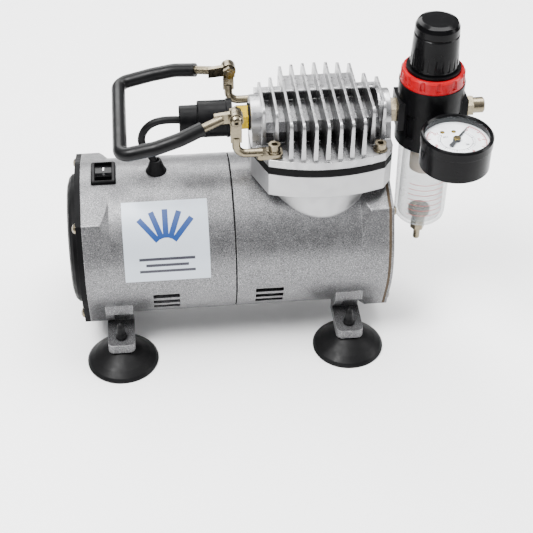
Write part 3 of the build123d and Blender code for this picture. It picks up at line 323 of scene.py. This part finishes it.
def print_ink(name, color):
    """Printed ink: nearly even, with a faint unevenness."""
    ink = Finish(name, 0.45)
    ink.tone(color, 0.06, 0.8)
    ink.bump(0.3, 0.004)
    return ink.done()


silver = hammered_paint("hammered_silver_paint")
silver_crank = hammered_paint("hammered_silver_crank", True)
casting = bright_casting()
nickel = turned_metal("nickel_plate", (0.17, 0.145, 0.10))
steel = turned_metal("steel", (0.30, 0.30, 0.31), 0.32)
brass = turned_metal("brass", (0.22, 0.15, 0.012), 0.26)
black = black_paint()
rubber = moulded("black_rubber", (0.004, 0.004, 0.0043), 0.4, 0.02, 0.7, 0.02)
gloss = moulded("black_gloss_plastic", (0.002, 0.002, 0.0023), 0.18, 0.008, 0.8, 0.02, 0.09)
satin = moulded("black_satin_plastic", (0.002, 0.002, 0.0023), 0.34, 0.02, 0.4, 0.02, 0.07)
gasket = moulded("black_gasket", (0.005, 0.005, 0.005), 0.75, 0.04, 0.5, 0.02)
red = moulded("red_plastic", (0.30, 0.001, 0.005), 0.24, 0.01, 1.0, 0.02, 0.15)
grip = moulded("black_grip", (0.003, 0.003, 0.0033), 0.36, 0.012, 0.9, 0.02, 0.14)
brown = fibre("brown_fibre", (0.045, 0.028, 0.013))
tan_grains = fibre("sintered_filter", (0.45, 0.29, 0.15))
dial_paint = moulded("dial_paint", (0.78, 0.80, 0.82), 0.5, 0.003, 0.5, 0.05)
needle_paint = moulded("needle_paint", (0.012, 0.012, 0.014), 0.5, 0.003, 0.5, 0.02)
red_ink = print_ink("red_ink", (0.36, 0.002, 0.01))
dark_ink = print_ink("dark_ink", (0.02, 0.02, 0.03))
blue_ink = print_ink("blue_ink", (0.0, 0.03, 0.15))
pale_red_ink = print_ink("pale_red_ink", (0.50, 0.09, 0.09))
white_ink = print_ink("white_ink", (0.85, 0.85, 0.85))

FINISHES = {
    silver: ["motor_housing", "end_cover"],
    silver_crank: ["crank_housing"],
    casting: ["cylinder_head", "fan_end_shield", "piston", "connecting_rod", "crank_disc"],
    black: ["fan_cover", "fan_cover_frame", "valve_plate"],
    gasket: ["head_gaskets", "housing_seam_ring", "fitting_washer"],
    brown: ["end_cover_gasket", "diaphragm"],
    nickel: [
        "end_screws", "head_screws", "handle_brackets", "handle_bar", "handle_pivot_screws", "inlet_nipple",
        "drain_seat", "drain_valve", "outlet_fitting",
    ],
    steel: [
        "motor_shaft", "shaft_bearings", "wrist_pin", "cylinder_sleeve", "exhaust_reed", "adjusting_screw",
        "range_spring", "spring_seat", "stator_core", "rotor_core", "gauge_stem",
    ],
    brass: ["brass_fitting"],
    copper(): ["stator_windings"],
    grip: ["handle_grip"],
    rubber: ["suction_cups", "switch_lead", "lead_grommet", "mains_gland", "piston_seal"],
    satin: [
        "pressure_switch_body", "pressure_switch_cap", "switch_frame", "regulator_body",
        "regulator_bonnet", "cooling_fan",
    ],
    gloss: ["switch_rocker", "regulator_knob", "gauge_case"],
    red: ["lock_ring"],
    clear_plastic("clear_bowl", (0.30, 0.325, 0.325), 0.27, 0.85): ["filter_bowl"],
    clear_plastic("gauge_window", (0.26, 0.28, 0.29), 0.03, 0.15): ["gauge_lens"],
    tan_grains: ["filter_element"],
    dial_paint: ["gauge_dial"],
    needle_paint: ["gauge_needle"],
    label_foil(): ["name_label"],
}
for material, names in FINISHES.items():
    for name in names:
        nodes[name].data.materials.clear()
        nodes[name].data.materials.append(material)

# ---- pieces ----


def mesh_piece(name, vertices, faces, material, body, smooth=False):
    """New mesh object that rides on a body."""
    mesh = bpy.data.meshes.new(name)
    mesh.from_pydata([tuple(v) for v in vertices], [], faces)
    mesh.validate()
    for polygon in mesh.polygons:
        polygon.use_smooth = smooth
    mesh.materials.append(material)
    piece = bpy.data.objects.new(name, mesh)
    bpy.context.scene.collection.objects.link(piece)
    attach(piece, body)
    return piece


def flat_print(name, outlines, place, material, body, thick=PRINT_THICK * MM):
    """Thin closed slabs over flat outlines; place(u, v, height) maps them onto a surface."""
    vertices, faces = [], []
    for outline in outlines:
        start, count = len(vertices), len(outline)
        vertices += [place(u, v, 0.0) for u, v in outline]
        vertices += [place(u, v, thick) for u, v in outline]
        faces.append(tuple(start + i for i in reversed(range(count))))
        faces.append(tuple(start + count + i for i in range(count)))
        for i in range(count):
            j = (i + 1) % count
            faces.append((start + i, start + j, start + count + j, start + count + i))
    return mesh_piece(name, vertices, faces, material, body)


def bar_outline(x0, x1, y0, y1):
    """Rectangle, counter-clockwise."""
    return [(x0, y0), (x1, y0), (x1, y1), (x0, y1)]


def arc_strips(inner, outer, start, end, steps):
    """Ring segment between two angles in degrees, cut into quads."""
    angles = [radians(start + (end - start) * i / steps) for i in range(steps + 1)]
    quads = []
    for a, b in zip(angles, angles[1:]):
        quad = [(inner * cos(a), inner * sin(a)), (outer * cos(a), outer * sin(a)),
                (outer * cos(b), outer * sin(b)), (inner * cos(b), inner * sin(b))]
        quads.append(quad if end > start else quad[::-1])
    return quads


# ---- lead between the pressure switch and the housing ----

GROMMET_X = SEAM_X - 45.5
LEAD_MM = [
    (SEAM_X - 28.0, 0, PORT_Z), (SEAM_X - 38.5, 0, PORT_Z + 1.2), (SEAM_X - 48.6, 0, PORT_Z - 2.0),
    (SEAM_X - 54.0, 0, PORT_Z - 11.0), (SEAM_X - 51.8, 0, PORT_Z - 20.5), (GROMMET_X, 0, PORT_Z - 28.0),
    (GROMMET_X, 0, 109.0),
]
LEAD_RADIUS = 2.35 * MM


def make_lead():
    """Round rubber lead on one smooth curve."""
    curve = bpy.data.curves.new("switch_lead_cord", "CURVE")
    curve.dimensions = "3D"
    spline = curve.splines.new("NURBS")
    spline.points.add(len(LEAD_MM) - 1)
    for point, place in zip(spline.points, LEAD_MM):
        point.co = (*(c * MM for c in place), 1)
    spline.order_u = 3
    spline.use_endpoint_u = True
    curve.bevel_depth = LEAD_RADIUS
    curve.bevel_resolution = 6
    curve.resolution_u = 12
    curve.use_fill_caps = True
    curve.materials.append(rubber)
    lead = bpy.data.objects.new("switch_lead_cord", curve)
    bpy.context.scene.collection.objects.link(lead)
    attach(lead, "frame")
    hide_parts("switch_lead")


make_lead()

# ---- range spring ----


SPRING_WIRE = 0.7
SPRING_TURNS = 4.1


def make_spring(steps=28, sides=10):
    """Round wire on a helix of even pitch that fills the range spring's box."""
    low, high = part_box("range_spring")
    wire = SPRING_WIRE * MM
    coil = (high.x - low.x) / 2 - wire
    x, y = (low.x + high.x) / 2, (low.y + high.y) / 2
    rise = high.z - low.z - 2 * wire
    count = int(SPRING_TURNS * steps)
    vertices, faces = [], []
    for i in range(count + 1):
        angle = 2 * pi * SPRING_TURNS * i / count
        height = low.z + wire + rise * i / count
        for k in range(sides):
            out, up = wire * cos(2 * pi * k / sides), wire * sin(2 * pi * k / sides)
            radius = coil + out
            vertices.append((x + radius * cos(angle), y + radius * sin(angle), height + up))
    for i in range(count):
        for k in range(sides):
            a, b = sides * i + k, sides * i + (k + 1) % sides
            faces.append((a, a + sides, b + sides, b))
    faces.append(tuple(range(sides)))
    faces.append(tuple(sides * count + k for k in reversed(range(sides))))
    spring = mesh_piece("range_spring_coil", vertices, faces, steel, "frame", smooth=True)
    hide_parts("range_spring")
    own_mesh(spring)


make_spring()

# ---- name label's generic mark: a fan of bars over three rules ----

label_low, label_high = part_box("name_label")
LABEL_RADIUS = 49.6 * MM
LABEL_MID_ANGLE = radians(148)
MARK_ANGLES = (50, 70, 90, 110, 130)
MARK_REACH = 25 * MM
MARK_HOLLOW = 0.3
MARK_WIDTH = 3.4 * MM
MARK_V = -5 * MM
RULES = ((-10.5, 17), (-14.5, 13), (-18.5, 17))
RULE_HALF_WIDTH = 0.9


def on_label(u, v, height):
    """u runs along the housing and v round it, upwards, from the label's middle."""
    angle = LABEL_MID_ANGLE - v / LABEL_RADIUS
    radius = LABEL_RADIUS + height
    x = (label_low.x + label_high.x) / 2 + u
    return (x, radius * cos(angle), AXIS_Z * MM + radius * sin(angle))


def fine_bar(x0, x1, y0, y1, steps=3):
    """Rectangle cut into short cells so that it follows the curved label."""
    rows = [y0 + (y1 - y0) * i / steps for i in range(steps + 1)]
    return [bar_outline(x0, x1, a, b) for a, b in zip(rows, rows[1:])]


def fan_mark(cells=10):
    """Bars fanned out upwards round one point, cut into cells that follow the curved label."""
    quads = []
    for angle in MARK_ANGLES:
        along = Vector((cos(radians(angle)), sin(radians(angle))))
        across = Vector((-along.y, along.x)) * MARK_WIDTH / 2
        stops = [MARK_REACH * (MARK_HOLLOW + (1 - MARK_HOLLOW) * i / cells) for i in range(cells + 1)]
        for near, far in zip(stops, stops[1:]):
            spots = (along * near - across, along * far - across, along * far + across, along * near + across)
            quads.append([(spot.x, spot.y + MARK_V) for spot in spots])
    return quads


flat_print("label_mark", fan_mark(), on_label, blue_ink, "frame")
rules = []
for v, half_length in RULES:
    low, high = (v - RULE_HALF_WIDTH) * MM, (v + RULE_HALF_WIDTH) * MM
    rules += fine_bar(-half_length * MM, half_length * MM, low, high)
flat_print("label_rules", rules, on_label, dark_ink, "frame")

# ---- gauge dial ----

dial_low, dial_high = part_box("gauge_dial")
dial_x, dial_y = (dial_low.x + dial_high.x) / 2, (dial_low.y + dial_high.y) / 2
ZERO_ANGLE = 53.0
SWEEP = -270.0
STEM_SIDE = 8.0
OUTER_RING = (17.1, 17.6)
OUTER_TICKS = ((15.0, 17.2, 0.75, 10), (16.0, 17.2, 0.4, 50))
INNER_RING = (9.3, 9.6)
INNER_TICKS = ((9.6, 11.2, 0.45, 7), (10.3, 11.2, 0.24, 35))


def on_dial(u, v, height):
    """Flat over the dial, u and v from its middle."""
    return (dial_x + u, dial_y + v, dial_high.z + height)


def dial_ticks(inner, outer, width, count):
    """Radial ticks at even steps of the sweep."""
    ticks = []
    for i in range(count + 1):
        angle = radians(ZERO_ANGLE + SWEEP * i / count)
        along, across = Vector((cos(angle), sin(angle))), Vector((-sin(angle), cos(angle))) * width / 2
        a, b = along * inner, along * outer
        ticks.append([tuple(a - across), tuple(b - across), tuple(b + across), tuple(a + across)])
    return ticks


def dial_numbers(name, values, radius, size, material):
    """Numbers round the dial, upright when read from the side opposite the stem."""
    for i, value in enumerate(values):
        angle = radians(ZERO_ANGLE + SWEEP * i / (len(values) - 1))
        text = bpy.data.curves.new(f"{name}_{value}", "FONT")
        text.body = str(value)
        text.size = size
        text.align_x = "CENTER"
        text.align_y = "CENTER"
        text.extrude = 0.03 * MM
        text.offset = 0.04 * MM
        text.materials.append(material)
        number = bpy.data.objects.new(f"{name}_{value}", text)
        spot = on_dial(radius * cos(angle), radius * sin(angle), PRINT_THICK * MM)
        number.matrix_world = Matrix.Translation(spot) @ Matrix.Rotation(radians(STEM_SIDE + 180), 4, "Z")
        bpy.context.scene.collection.objects.link(number)
        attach(number, "frame")


def dial_scale(tick_rows, ring, steps):
    """Long and short ticks with the ring that joins them, all in millimetres."""
    scale = []
    for inner, outer, width, count in tick_rows:
        scale += dial_ticks(inner * MM, outer * MM, width * MM, count)
    return scale + arc_strips(ring[0] * MM, ring[1] * MM, ZERO_ANGLE, ZERO_ANGLE + SWEEP, steps)


flat_print("dial_outer_scale", dial_scale(OUTER_TICKS, OUTER_RING, 72), on_dial, red_ink, "frame")
flat_print("dial_inner_scale", dial_scale(INNER_TICKS, INNER_RING, 60), on_dial, dark_ink, "frame")
dial_numbers("bar", [0, 2, 4, 6, 8, 10], 13.2 * MM, 3.4 * MM, red_ink)
dial_numbers("psi", [0, 40, 80, 120], 7.0 * MM, 2.2 * MM, dark_ink)

# ---- hub and screws on the dial ----


def button(name, x, y, z, radius, height, material, body, steps=32):
    """Low round button with a bevelled top edge."""
    vertices, faces = [], []
    rings = ((radius, z), (radius, z + 0.6 * height), (0.8 * radius, z + height))
    for ring_radius, ring_z in rings:
        for i in range(steps):
            angle = 2 * pi * i / steps
            vertices.append((x + ring_radius * cos(angle), y + ring_radius * sin(angle), ring_z))
    for ring in range(2):
        for i in range(steps):
            j = (i + 1) % steps
            low, high = ring * steps, (ring + 1) * steps
            faces.append((low + i, low + j, high + j, high + i))
    faces.append(tuple(reversed(range(steps))))
    faces.append(tuple(2 * steps + i for i in range(steps)))
    mesh_piece(name, vertices, faces, material, body)


needle_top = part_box("gauge_needle")[1].z
button("needle_cap", dial_x, dial_y, needle_top, 2.2 * MM, 0.5 * MM, brass, "needle")
for side, dx, dy in (("left", -6.7, 9.0), ("right", 0.1, 9.2)):
    spot = (dial_x + dx * MM, dial_y + dy * MM, dial_high.z)
    button(f"dial_screw_{side}", *spot, 1.4 * MM, 0.35 * MM, brass, "frame")

# ---- marks on the switch and the bowl ----

rocker_low, rocker_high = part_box("switch_rocker")
rocker_x = (rocker_low.x + rocker_high.x) / 2


def on_rocker(u, v, height):
    """Straight above the rocker's top, u along the housing and v across it."""
    piece = nodes["switch_rocker"]
    inverse = piece.matrix_world.inverted()
    start = inverse @ Vector((rocker_x + u, v, rocker_high.z + 0.01))
    spot = piece.ray_cast(start, inverse.to_3x3() @ Vector((0, 0, -1)))[1]
    return tuple(piece.matrix_world @ spot + Vector((0, 0, height)))


stroke = bar_outline(-0.45 * MM, 0.45 * MM, 3.2 * MM, 6.4 * MM)
flat_print("rocker_mark", [stroke], on_rocker, white_ink, "rocker")
bowl_low, bowl_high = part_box("filter_bowl")
bowl_x = (bowl_low.x + bowl_high.x) / 2
BOWL_RADIUS = 16.3
BOWL_TAPER = 0.6 / 54
BOWL_FOOT = 72
LINE_START = 76
LINE_PITCH = 4
LINE_CELL = 2
LINE_WIDTH = 0.35 * MM


def on_bowl(u, v, height):
    """u runs round the bowl's front, v is the height above the floor."""
    radius = (BOWL_RADIUS + BOWL_TAPER * (v / MM - BOWL_FOOT)) * MM + PRINT_GAP * MM + height
    angle = radians(-90) + u / radius
    return (bowl_x + radius * cos(angle), radius * sin(angle), v)


bowl_lines = []
for row in range(7):
    v = (LINE_START + LINE_PITCH * row) * MM
    for cell in range(-6, 6):
        u = LINE_CELL * cell * MM
        bowl_lines.append(bar_outline(u, u + LINE_CELL * MM, v, v + LINE_WIDTH))
flat_print("bowl_lines", bowl_lines, on_bowl, pale_red_ink, "frame")

# ---- studio ----

FLOOR_SIDE = 6.0
FLOOR_DROP = 0.2 * MM


def studio():
    """Pale floor, a sky that darkens towards the horizon, and four soft lamps."""
    bpy.ops.mesh.primitive_plane_add(size=FLOOR_SIDE, location=(0, 0, -FLOOR_DROP))
    floor = bpy.context.object
    floor.name = "studio_floor"
    pale = Finish("pale_floor", 0.7)
    pale.tone((0.93, 0.93, 0.93), 0.01, 400)
    floor.data.materials.append(pale.done())
    world = bpy.data.worlds.new("studio")
    bpy.context.scene.world = world
    world.use_nodes = True
    sky = world.node_tree
    direction = sky.nodes.new("ShaderNodeTexCoord").outputs["Generated"]
    height = sky.nodes.new("ShaderNodeSeparateXYZ")
    sky.links.new(direction, height.inputs[0])
    ramp = sky.nodes.new("ShaderNodeValToRGB")
    sky.links.new(height.outputs["Z"], ramp.inputs[0])
    steps = ((0.0, 0.05), (0.10, 0.06), (0.45, 0.5), (1.0, 1.15))
    while len(ramp.color_ramp.elements) < len(steps):
        ramp.color_ramp.elements.new(0.5)
    for element, (at, level) in zip(ramp.color_ramp.elements, steps):
        element.position = at
        element.color = (level, level, level * 1.02, 1)
    background = sky.nodes["Background"]
    sky.links.new(ramp.outputs[0], background.inputs["Color"])
    background.inputs["Strength"].default_value = 1.15
    lamps = (
        ("key", (-0.50, -0.35, 1.25), 0.55, 42.0),
        ("top", (0.3, 0.3, 1.3), 0.8, 30.0),
        ("side", (1.1, -0.1, 0.6), 0.5, 9.0),
        ("back", (-0.3, 1.1, 0.9), 0.8, 20.0),
    )
    for name, place, size, power in lamps:
        light = bpy.data.lights.new(name, "AREA")
        light.size = size
        light.energy = power
        lamp = bpy.data.objects.new(name, light)
        lamp.location = place
        lamp.rotation_euler = (Vector((0, 0, 0.08)) - Vector(place)).to_track_quat("-Z", "Y").to_euler()
        bpy.context.scene.collection.objects.link(lamp)


studio()
